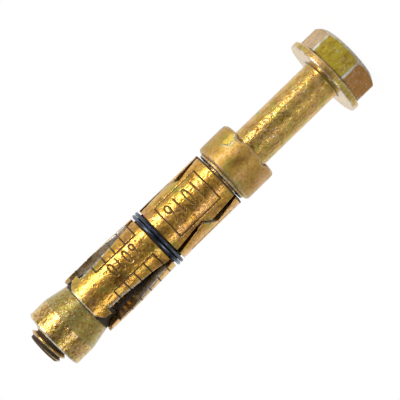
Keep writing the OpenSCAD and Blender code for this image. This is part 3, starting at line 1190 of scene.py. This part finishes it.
@dataclass
class WallSegment:
    """One of the three pressed wall segments, with its engraved ladders, frame and numbers."""

    wall: float = 1.78 * MM
    sleeve_r: float = 7.5 * MM
    top_r: float = 7.425 * MM
    crown_r: float = 7.89 * MM
    foot_r: float = 7.78 * MM
    crown_from_foot: float = 7.85 * MM
    groove_middle: float = 19.6 * MM
    groove_h: float = 2.58 * MM
    groove_r: float = 6.5 * MM
    seat_slope: float = math.tan(math.radians(11.55))
    seat_r: float = 6.945 * MM
    foot_len: float = 3.25 * MM
    waist_from_foot: float = 8.2 * MM
    foot_corner_h: float = 1.5 * MM
    foot_edge: float = 0.01 * MM
    edge_round: float = 0.24 * MM
    window_round: float = 0.6 * MM
    line_w: float = 0.34 * MM
    line_depth: float = 0.15 * MM
    ladder_angle: float = 23.0
    frame_angle: float = 36.5
    rung_from_foot: float = 7.1 * MM
    rung_pitch: float = 3.04 * MM
    rung_count: int = 5
    frame_from_top: float = 3.1 * MM
    frame_from_groove: float = 2.8 * MM
    numbers: tuple[Engraving, ...] = (Engraving("1016", 4.6 * MM, 2.7 * MM, 1.5 * MM, 4.6 * MM, 0.8 * MM),
                                      Engraving("6010", 24.6 * MM, 2.2 * MM, 1.3 * MM, 3.4 * MM, 0.6 * MM))
    columns: int = 126
    row_step: float = 0.16 * MM
    quick_columns: int = 60
    quick_row_step: float = 0.35 * MM
    roughened_r: float = 6.9 * MM

    def __post_init__(self) -> None:
        """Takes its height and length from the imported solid, and sets out its edges."""
        low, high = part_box("shield_segment_a")
        self.base = low.z
        self.length = high.z - low.z
        self.groove_low = self.groove_middle - self.groove_h / 2
        self.groove_high = self.groove_middle + self.groove_h / 2
        bend = self.groove_h / 4
        shoulder = self.length - self.foot_len
        corner = self.length - self.foot_corner_h
        waist = self.length - self.waist_from_foot
        low_bend = self.groove_low + bend
        foot = [(self.groove_high - bend, 56.5), (waist, 38.4), (shoulder - self.foot_edge, 37.6),
                (shoulder, 48.6), (corner, 46.0), (self.length, 28.0)]
        self.right = [(0.0, 60.5), (6.9 * MM, 45.0), (10.1 * MM, 71.0), (low_bend, 57.0)] + foot
        self.left = [(0.0, 53.0), (7.9 * MM, 59.0), (9.8 * MM, 43.0), (low_bend, 52.0)] + foot
        self.shoulder = shoulder

    @staticmethod
    def along(line: list[Point], h: float) -> float:
        """Reads a value off a line of height and value pairs.

        Args:
            line: Pairs of height and value, rising.
            h: The height above the top end.

        Returns:
            The value there.
        """
        for (h0, v0), (h1, v1) in zip(line, line[1:]):
            if h <= h1:
                return v0 + (v1 - v0) * (h - h0) / (h1 - h0)
        return line[-1][1]

    def gap_line(self, angle: float) -> float:
        """The place across the gap, 60 degrees from the middle, of an edge angle in degrees."""
        return self.sleeve_r * math.sin(math.radians(angle) - SEGMENT_PITCH / 2)

    def edge_angle(self, line: list[Point], h: float, r: float) -> float:
        """An edge's angle at a height and a radius: the gaps run square through the wall."""
        place = [(height, self.gap_line(angle)) for height, angle in line]
        return SEGMENT_PITCH / 2 + math.asin(self.along(place, h) / r)

    def outer(self, h: float) -> float:
        """The outside radius at a height, without rounded edges and lines.

        Args:
            h: The height above the top end.

        Returns:
            The radius.
        """
        if self.groove_low < h < self.groove_high:
            return self.groove_r
        outline = [(0.0, self.top_r), (self.groove_low, self.sleeve_r), (self.groove_high, self.sleeve_r),
                   (self.length - self.crown_from_foot, self.crown_r), (self.length, self.foot_r)]
        return self.along(outline, h)

    def inner(self, h: float) -> float:
        """The inside radius at a height, with the seat for the taper in the foot."""
        return max(self.sleeve_r - self.wall, self.seat_r - (self.length - h) * self.seat_slope)

    def rungs(self) -> list[float]:
        """The heights of the ladders' rungs, from the foot up."""
        return [self.length - self.rung_from_foot - i * self.rung_pitch for i in range(self.rung_count)]

    def rows(self) -> list[float]:
        """The heights of the grid's rows, with one at every corner of the edges and lines.

        Returns:
            Rising heights above the top end.
        """
        tight = 0.012 * MM
        knots = {0.0, self.length, self.shoulder, self.shoulder - self.foot_edge}
        knots |= {h for line in (self.left, self.right) for h, _ in line}
        knots |= {g + s for g in (self.groove_low, self.groove_high) for s in (-tight, tight)}
        lines = [self.frame_from_top, self.groove_low - self.frame_from_groove] + self.rungs()
        knots |= {line + s for line in lines for s in (-self.line_w / 2, 0.0, self.line_w / 2)}
        knots |= {e * MM for e in FROM_EDGE} | {self.length - e * MM for e in FROM_EDGE}
        knots |= {self.shoulder + e * MM for e in FROM_EDGE}
        ordered = sorted(knots)
        apart = [ordered[0]] + [b for a, b in zip(ordered, ordered[1:]) if b - a > 0.004 * MM]
        return stops_between(apart, self.row_step)

    def column_places(self) -> list[Point]:
        """Each column as a share of the width and a fixed distance from its nearer edge.

        Returns:
            One pair for each column.
        """
        close = (0.0,) + FROM_EDGE
        inside = self.columns - 2 * len(close)
        left = [(0.0, d * MM) for d in close]
        right = [(1.0, -d * MM) for d in reversed(close)]
        return left + [((i + 1) / (inside + 1), 0.0) for i in range(inside)] + right

    def strokes(self) -> list[Line]:
        """Every engraved line, as two ends across and along the unrolled wall.

        Returns:
            Lines, each as its two ends across and along the wall.
        """
        lines: list[Line] = []
        crown = (self.sleeve_r + self.crown_r) / 2
        rungs = self.rungs()
        top = self.frame_from_top
        low = self.groove_low - self.frame_from_groove
        reach = math.radians(self.frame_angle) * self.sleeve_r
        for side in (-1, 1):
            rail = side * math.radians(self.ladder_angle) * crown
            lines.append(((rail, rungs[-1]), (rail, rungs[0])))
            lines += [((rail, rung), (side * SEGMENT_PITCH / 2 * crown, rung)) for rung in rungs]
            lines.append(((side * reach, top), (side * reach, low)))
        lines += [((-reach, h), (reach, h)) for h in (top, low)]
        for number in self.numbers:
            lines += number.lines()
        return lines

    def pressed(self, across: float, h: float, strokes: list[Line]) -> float:
        """From 0 to 1, how deep an engraved line is at a place.

        Args:
            across: The distance across from the middle of the wall.
            h: The height above the top end.
            strokes: The engraved lines.

        Returns:
            A share from 0 to 1.
        """
        reach = self.line_w * 0.62
        best = reach
        for a, b in strokes:
            if min(a[1], b[1]) - reach < h < max(a[1], b[1]) + reach:
                best = min(best, near_segment((across, h), a, b))
        return smooth_step(reach, reach * 0.35, best)

    def rounding(self, across: float, h: float, outline: list[Line]) -> float:
        """How far the outer skin drops beside the outline.

        Args:
            across: The distance across from the middle of the wall.
            h: The height above the top end.
            outline: The segment's outline.

        Returns:
            The drop.
        """
        near = min(near_segment((across, h), a, b) for a, b in outline)
        window = smooth_step(self.groove_high, self.groove_high + 4 * MM, h) * (h < self.shoulder - 0.5 * MM)
        size = self.edge_round + (self.window_round - self.edge_round) * window
        gap = max(size - near, 0.0)
        return size - math.sqrt(size ** 2 - gap ** 2)

    def outline(self) -> list[Line]:
        """The segment's outline on the unrolled wall.

        Returns:
            Lines, each as its two ends across and along the wall.
        """
        crown = (self.sleeve_r + self.crown_r) / 2
        points = [(side * math.radians(angle) * (self.sleeve_r if h < self.groove_low else crown), h)
                  for side, line in ((1, self.right), (-1, self.left[::-1])) for h, angle in line]
        return list(zip(points, points[1:] + points[:1]))

    def build(self) -> BMesh:
        """The segment facing -Y, as an outer and an inner skin joined round their edges.

        Returns:
            The mesh.
        """
        rows = self.rows()
        columns = self.column_places()
        strokes = self.strokes()
        outline = self.outline()
        bm = bmesh.new()
        last_column = len(columns) - 1
        last_row = len(rows) - 1
        skin = bmesh.ops.create_grid(bm, x_segments=last_column, y_segments=last_row, size=0.5)["verts"]
        self.marks = {"wear_and_painted_highlight": [0.0] * (2 * len(skin)), "groove": [0.0] * (2 * len(skin))}
        cells = [(round((v.co.x + 0.5) * last_column), round((v.co.y + 0.5) * last_row)) for v in skin]
        copy = bmesh.ops.duplicate(bm, geom=bm.verts[:] + bm.edges[:] + bm.faces[:])
        twin = copy["vert_map"]
        bm.verts.index_update()
        outer_edges = [e for v in skin for e in v.link_edges if e.is_boundary]
        for v, (i, j) in zip(skin, cells):
            h = rows[j]
            self.place(v, columns[i], h, self.outer(h), strokes, outline, outside=True)
            self.place(twin[v], columns[i], h, self.inner(h), strokes, outline, outside=False)
            cut_face = 0 in (i, j - last_row) or i == last_column
            # Painted shade over the inner skin, but not on the cut faces.
            self.marks["groove"][twin[v].index] = 0.0 if cut_face else 0.9
            # Painted highlight on the cut faces: strong on one side's face above the wire, faint on the rest
            # of them.
            painted_highlight = 0.9 if i == 0 and h > self.groove_high else 0.3
            self.marks["wear_and_painted_highlight"][twin[v].index] = painted_highlight if cut_face else 0.0
            if i in (0, last_column):
                self.marks["groove"][v.index] = 0.0
        edges = set(outer_edges) | {e for v in skin for e in twin[v].link_edges if e.is_boundary}
        bmesh.ops.bridge_loops(bm, edges=list(edges))
        bmesh.ops.recalc_face_normals(bm, faces=bm.faces[:])
        return bm

    def place(self, v: BMVert, column: Point, h: float, r: float,
              strokes: list[Line], outline: list[Line], outside: bool) -> None:
        """Sets one grid point on the wall.

        Args:
            v: The vertex.
            column: Its column's share of the width and distance from the edge.
            h: Its height above the top end.
            r: The wall's radius there.
            strokes: The engraved lines.
            outline: The segment's outline.
            outside: Whether this is the outer skin, which has lines and rounded edges.
        """
        low = -self.edge_angle(self.left, h, r)
        high = self.edge_angle(self.right, h, r)
        angle = low + (high - low) * column[0] + column[1] / r
        if outside:
            across = angle * r
            drop = self.rounding(across, h, outline)
            in_groove = self.groove_low < h < self.groove_high
            line = 0.0 if in_groove else self.pressed(across, h, strokes)
            end = smooth_step(self.length - 0.42 * MM, self.length - 0.26 * MM, h)
            # Pale rounded-over outline edges: partly rubbing, partly painted highlight.
            worn_and_painted_highlight = smooth_step(0.02 * MM, self.edge_round * 0.8, drop)
            self.marks["wear_and_painted_highlight"][v.index] = max(end, worn_and_painted_highlight) if h > 0.8 * MM else 0.0
            # Painted shade in the engraved lines, where the wire sits and along the top end against the
            # ferrule.
            dark = 0.95 if in_groove else line
            self.marks["groove"][v.index] = max(dark, smooth_step(0.60 * MM, 0.36 * MM, h))
            r -= drop + self.line_depth * line
        a = SEGMENT_FRONT + angle
        v.co = (r * math.cos(a), r * math.sin(a), self.base + h)


def digit_line(digit: str) -> list[Point]:
    """The pen's path of a plain digit in a box one wide and one high.

    Args:
        digit: The digit, which is 0, 1 or 6.

    Returns:
        Points in order along the path.
    """
    if digit == "1":
        return [(0.2, 0.8), (0.6, 1.0), (0.6, 0.0)]
    height = 0.5 if digit == "0" else 0.25
    ring = [(0.5 + 0.42 * math.cos(a), height + height * math.sin(a))
            for a in (FULL_TURN * (0.5 - i / 16) for i in range(17))]
    return ring if digit == "0" else [(0.75, 1.0), (0.3, 0.75)] + ring


def build_segments(finish: ZincFinish) -> list[bpy.types.Object]:
    """Presses one wall segment and places it three times round the axis.

    Args:
        finish: What its surface looks like.

    Returns:
        The three dressed segments.
    """
    made = []
    segment = WallSegment()
    blank = segment.build()
    material = finish.material()
    for index, letter in enumerate("abc"):
        bm = blank.copy()
        bmesh.ops.rotate(bm, verts=bm.verts[:], cent=(0, 0, 0),
                         matrix=Matrix.Rotation(index * SEGMENT_PITCH, 3, "Z"))
        roughen(bm, depth=0.06 * MM, grain=0.9 * MM, where=beyond(segment.roughened_r))
        made.append(finish_piece(bm, f"shield_segment_{letter}", f"segment_{letter}",
                                 material, segment.marks))
    blank.free()
    return made


@dataclass
class Studio:
    """The white floor, the soft light and the camera of the photograph."""

    azimuth: float = math.radians(-9.5)
    elevation: float = math.radians(1.9)
    distance: float = 392 * MM
    field_of_view: float = math.radians(13.4)
    head_angle: float = math.radians(44.15)
    aim_height: float = 48.08 * MM
    aim_aside: float = 0.46 * MM
    strip_distance: float = 0.55
    strip_length: float = 0.55
    floor_drop: float = 0.2 * MM
    floor_size: float = 3.0
    glow_span: Span = (0.25, 0.40)
    glow: float = 0.36
    floor_white: float = 1.05
    floor_share: float = 0.9

    def back(self) -> Vector:
        """From the object towards the camera."""
        return Vector((math.sin(self.azimuth) * math.cos(self.elevation),
                       -math.cos(self.azimuth) * math.cos(self.elevation), math.sin(self.elevation)))

    def camera(self) -> None:
        """Places the camera, rolled so that the head points up and to the right."""
        back = self.back()
        side = Vector((0, 0, 1)).cross(back).normalized()
        up = back.cross(side)
        roll = math.radians(90) - (self.head_angle + math.pi)
        right = side * math.cos(roll) + up * math.sin(roll)
        top = -side * math.sin(roll) + up * math.cos(roll)
        data = bpy.data.cameras.new("camera")
        data.angle = self.field_of_view
        data.clip_start = 0.01
        cam = put_in_scene("camera", data)
        aim = Vector((0, 0, self.aim_height)) - side * self.aim_aside
        turn = Matrix((right, top, back)).transposed().to_4x4()
        cam.matrix_world = Matrix.Translation(aim + back * self.distance) @ turn
        bpy.context.scene.camera = cam

    def strip(self, name: str, turn: float, power: float, width: float) -> None:
        """A tall soft lamp.

        Args:
            name: The lamp's name.
            turn: Its angle from the camera, in degrees, seen from the tip.
            power: Its power in watts.
            width: Its width in metres.
        """
        data = bpy.data.lights.new(name, "AREA")
        data.shape = "RECTANGLE"
        data.size = width
        data.size_y = self.strip_length
        data.energy = power
        lamp = put_in_scene(name, data)
        a = SEGMENT_FRONT + self.azimuth + math.radians(turn)
        out = Vector((math.cos(a), math.sin(a), 0))
        lamp.location = out * self.strip_distance + Vector((0, 0, self.aim_height))
        lamp.rotation_euler = out.to_track_quat("Z", "Y").to_euler()

    def room(self, t: NodeTree, way: Socket) -> tuple[Socket, Socket]:
        """Bright and dim bands round the axis, with plain white behind the object.

        Args:
            t: The node tree to work in.
            way: The way from the axis.

        Returns:
            The bands' colour and how far the way points behind the object.
        """
        parts = t.add("ShaderNodeSeparateXYZ", {}, {0: way}).outputs
        angle = t.math("ARCTAN2", parts["Y"], parts["X"])
        turned = t.math("SUBTRACT", angle, SEGMENT_FRONT + self.azimuth)
        share = t.math("FRACT", t.math("ADD", t.math("DIVIDE", turned, FULL_TURN), 1.5))
        levels = [(-180, 1.0), (-125, 1.0), (-100, 0.42), (-75, 0.34), (-48, 0.30), (-30, 0.36),
                  (-18, 0.22), (-6, 0.12), (10, 0.12), (22, 0.34), (40, 0.70), (66, 0.80), (85, 0.60),
                  (125, 1.0), (180, 1.0)]
        bands = t.ramp(share, [(0.5 + d / 360, (v, v, v)) for d, v in levels])
        behind = t.map(t.math("COSINE", turned), -0.45, -0.6, 0.0, 1.0)
        return bands, behind

    def world(self) -> None:
        """A room that the metal sees as the bands and the camera as white."""
        world = bpy.data.worlds.new("studio")
        bpy.context.scene.world = world
        t = NodeTree(world)
        bands, behind = self.room(t, t.add("ShaderNodeTexCoord").outputs["Generated"])
        white = t.larger(t.direct(), t.times(t.mirrored(), behind))
        picture = t.mix(white, bands, (1.0, 1.0, 1.0))
        ground = t.add("ShaderNodeBackground", {}, {"Color": picture, "Strength": 1.0})
        t.add("ShaderNodeOutputWorld", {}, {"Surface": ground.outputs[0]})

    def floor(self) -> None:
        """A pale floor that looks white, keeps a soft shadow, and mirrors as the room does."""
        bm = bmesh.new()
        bmesh.ops.create_grid(bm, x_segments=1, y_segments=1, size=self.floor_size)
        mesh = bpy.data.meshes.new("floor")
        bm.to_mesh(mesh)
        bm.free()
        mat = bpy.data.materials.new("floor")
        t = NodeTree(mat)
        bands, behind = self.room(t, t.place())
        near = t.add("ShaderNodeVectorMath", {"operation": "LENGTH"}, {0: t.place()}).outputs["Value"]
        glow = t.map(near, *self.glow_span, self.glow, 0.0)
        picture = t.mix(t.larger(t.direct(), t.larger(behind, glow)), bands, (1.0, 1.0, 1.0))
        plain = t.add("ShaderNodeBsdfDiffuse", {}, {"Color": (0.9, 0.9, 0.9, 1.0)})
        white = t.add("ShaderNodeEmission", {}, {"Color": picture, "Strength": self.floor_white})
        share = t.times(t.larger(t.direct(), t.mirrored()), self.floor_share)
        t.surface(t.add("ShaderNodeMixShader", {}, {0: share, 1: plain.outputs[0], 2: white.outputs[0]}))
        mesh.materials.append(mat)
        floor = put_in_scene("floor", mesh)
        floor.location.z = -self.floor_drop

    def build(self) -> None:
        """Sets up camera, light and floor."""
        self.camera()
        self.world()
        self.floor()
        self.strip("upper_strip", turn=50.0, power=1.9, width=0.10)
        self.strip("lower_strip", turn=-36.0, power=0.45, width=0.07)
        bpy.context.scene.view_settings.view_transform = "Standard"


def main() -> None:
    """Builds the studio and every piece, and reports each one."""
    logging.basicConfig(level=logging.INFO, format="%(message)s")
    Studio().build()
    made = [
        HexBolt().build(ZincFinish("bolt_yellow_zinc", gold=(0.72, 0.45, 0.10), roughness=0.20, bump=0.6,
                                   stretch=0.45, speck_share=0.7, dust_share=0.65)),
        Ferrule().build(ZincFinish("ferrule_yellow_zinc", gold=(0.62, 0.38, 0.075), roughness=0.42,
                                   bump=0.25)),
        TaperNut().build(ZincFinish("nut_yellow_zinc", gold=(0.78, 0.54, 0.12), film=(0.42, 0.34, 0.07),
                                    blotch=420.0, grain=1300.0, speck_share=1.0, dust_share=1.0, bump=0.9)),
        WireHoop().build(WireFinish()),
        *build_segments(ZincFinish("shield_yellow_zinc", bump=0.42, dust_share=0.6, speck_share=0.4)),
    ]
    for piece in made:
        log.info("%s: %d faces", piece.name, len(piece.data.polygons))


if __name__ == "__main__":
    main()
